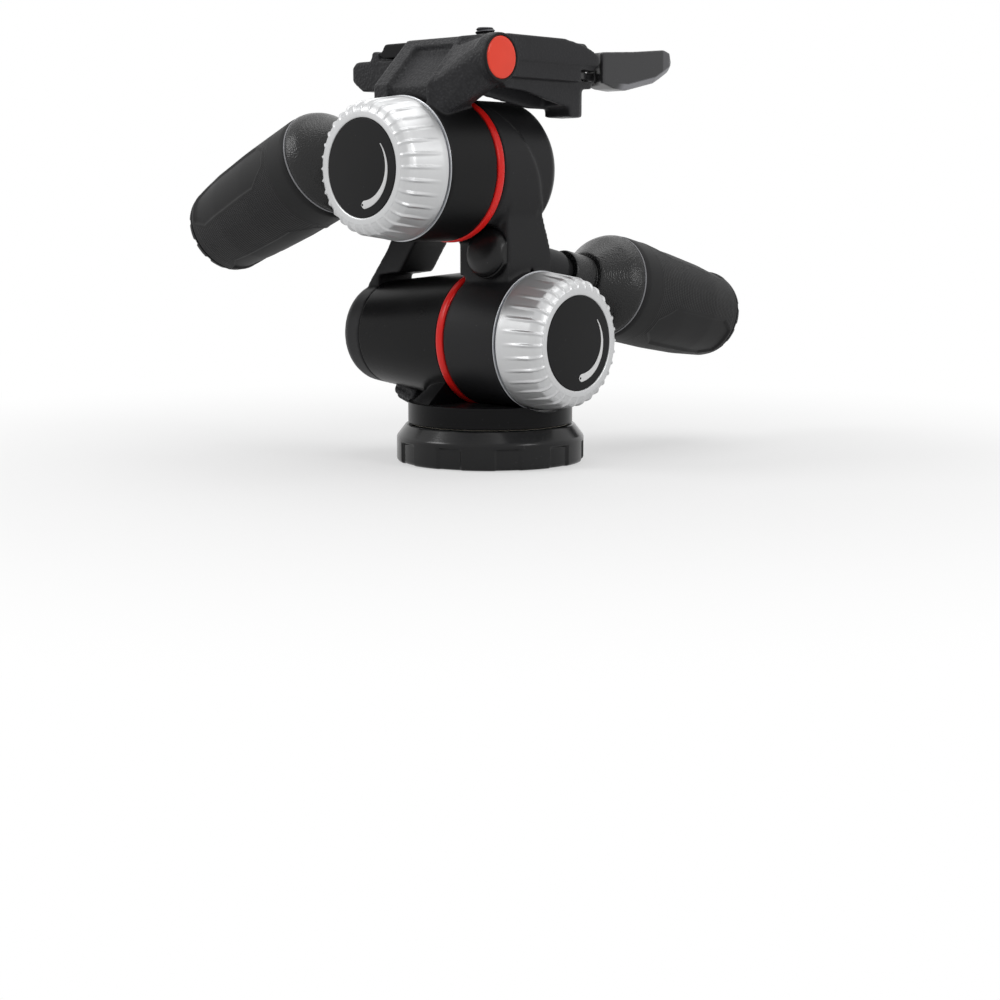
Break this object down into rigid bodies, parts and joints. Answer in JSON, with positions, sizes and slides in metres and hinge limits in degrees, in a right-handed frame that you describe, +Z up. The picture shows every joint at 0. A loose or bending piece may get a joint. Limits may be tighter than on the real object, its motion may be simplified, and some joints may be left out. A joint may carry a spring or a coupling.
{
  "type": "three-way pan tilt head",
  "caption": "Camera head with stacked pan, front tilt and side tilt axes, silver friction knobs, red rings, sliding lock lever grips and a quick release platform.",
  "frame": {"origin": "centre of the underside of the base, on the pan axis, at the mouth of the threaded hole", "axes": "+Z up along the pan axis; +X along the front tilt axis towards its friction knob; -Y along the side tilt axis towards its friction knob, which is also where the lens looks"},
  "size_m": [0.1393, 0.1605, 0.1357],
  "materials": {
    "satin_black": "satin black moulded polymer",
    "pebbled_black": "black with a fine pebbled skin",
    "base_black": "semi-gloss black coat",
    "steel": "plain turned steel",
    "bearing_plastic": "natural slide plastic",
    "brass": "turned",
    "red": "saturated red",
    "silver": "pale satin, shallow flutes",
    "disc_black": "satin black",
    "white_mark": "white print",
    "grip_rubber": "charcoal, fine knurl panels",
    "cap_black": "satin black",
    "lever_grey": "mid grey coat",
    "vial_glass": "clear tube with tinted fluid"
  },
  "bodies": {
    "base": {"base_ring": "base_black", "thread_insert": "steel", "pan_washer": "bearing_plastic", "retaining_ring": "steel"},
    "pan": {"pan_body": "satin_black", "pan_brake_pad": "brass"},
    "pan_knob": {"pan_lock_knob": "pebbled_black"},
    "tilt": {"yoke": "satin_black", "tilt_axle": "steel", "tail_plug": "satin_black", "lower_red_ring": "red", "tilt_clamp_nut": "satin_black", "tilt_spring_washer": "steel", "upper_end_cap": "satin_black"},
    "tilt_friction_knob": {"tilt_knob": "silver", "tilt_knob_disc": "disc_black", "tilt_knob_mark": "white_mark"},
    "tilt_lock_lever": {"tilt_lever": "pebbled_black", "tilt_lever_spacer": "disc_black", "tilt_clamp_screw": "steel", "tilt_rod": "steel"},
    "tilt_handle": {"tilt_grip": "grip_rubber", "tilt_grip_cap": "cap_black"},
    "roll": {"platform": "pebbled_black", "roll_axle": "steel", "roll_axle_nut": "steel", "upper_red_ring": "red", "roll_spring_washer": "steel", "badge": "red", "vial_back": "vial_glass", "vial_side": "vial_glass", "vial_bezel_back": "disc_black", "vial_bezel_side": "disc_black", "lever_pivot": "steel", "lever_spring": "steel", "pin_spring": "steel"},
    "roll_friction_knob": {"roll_knob": "silver", "roll_knob_disc": "disc_black", "roll_knob_mark": "white_mark"},
    "roll_lock_lever": {"roll_lever": "pebbled_black", "roll_lever_spacer": "disc_black", "roll_clamp_screw": "steel", "roll_rod": "steel"},
    "roll_handle": {"roll_grip": "grip_rubber", "roll_grip_cap": "cap_black"},
    "release": {"release_lever": "lever_grey"},
    "pin": {"trigger_pin": "brass"},
    "plate": {"quick_plate": "cap_black", "plate_pads": "grip_rubber"},
    "screw": {"camera_screw": "steel"}
  },
  "joints": [
    {"name": "pan_turn", "type": "hinge", "parent": "base", "child": "pan", "pos_m": [0, 0, 0.012], "axis": [0, 0, 1], "continuous": true},
    {"name": "pan_lock", "type": "hinge", "parent": "pan", "child": "pan_knob", "pos_m": [-0.019, 0, 0.0148], "axis": [-0.9511, 0, 0.309], "range_deg": [0, 270]},
    {"name": "front_tilt", "type": "hinge", "parent": "pan", "child": "tilt", "pos_m": [0, 0, 0.039], "axis": [1, 0, 0], "range_deg": [-30, 90]},
    {"name": "front_friction", "type": "hinge", "parent": "tilt", "child": "tilt_friction_knob", "pos_m": [0.0217, 0, 0.039], "axis": [1, 0, 0], "range_deg": [-180, 180]},
    {"name": "front_lock", "type": "hinge", "parent": "tilt", "child": "tilt_lock_lever", "pos_m": [0.01, 0, 0.064], "axis": [0, 0.9781, -0.2079], "range_deg": [0, 180]},
    {"name": "front_grip_extend", "type": "slide", "parent": "tilt_lock_lever", "child": "tilt_handle", "axis": [0, 0.9781, -0.2079], "range_m": [0, 0.045]},
    {"name": "side_tilt", "type": "hinge", "parent": "tilt", "child": "roll", "pos_m": [0, 0, 0.0915], "axis": [0, 1, 0], "range_deg": [-30, 90]},
    {"name": "side_friction", "type": "hinge", "parent": "roll", "child": "roll_friction_knob", "pos_m": [0, -0.0394, 0.0915], "axis": [0, -1, 0], "range_deg": [-180, 180]},
    {"name": "side_lock", "type": "hinge", "parent": "roll", "child": "roll_lock_lever", "pos_m": [0, -0.0306, 0.1115], "axis": [-0.9239, 0, -0.3827], "range_deg": [0, 180]},
    {"name": "side_grip_extend", "type": "slide", "parent": "roll_lock_lever", "child": "roll_handle", "axis": [-0.9239, 0, -0.3827], "range_m": [0, 0.045]},
    {"name": "plate_release", "type": "hinge", "parent": "roll", "child": "release", "pos_m": [0.02, 0.013, 0.1202], "axis": [0, 0, -1], "range_deg": [0, 45], "stiffness_Nm_per_rad": 0.2},
    {"name": "trigger_press", "type": "slide", "parent": "roll", "child": "pin", "axis": [0, 0, 1], "range_m": [-0.0008, 0], "stiffness_N_per_m": 200},
    {"name": "plate_lift", "type": "slide", "parent": "roll", "child": "plate", "axis": [0, 0, 1], "range_m": [0, 0.03]},
    {"name": "camera_screw_turn", "type": "hinge", "parent": "plate", "child": "screw", "pos_m": [-0.003, 0.001, 0.1285], "axis": [0, 0, 1], "continuous": true}
  ]
}
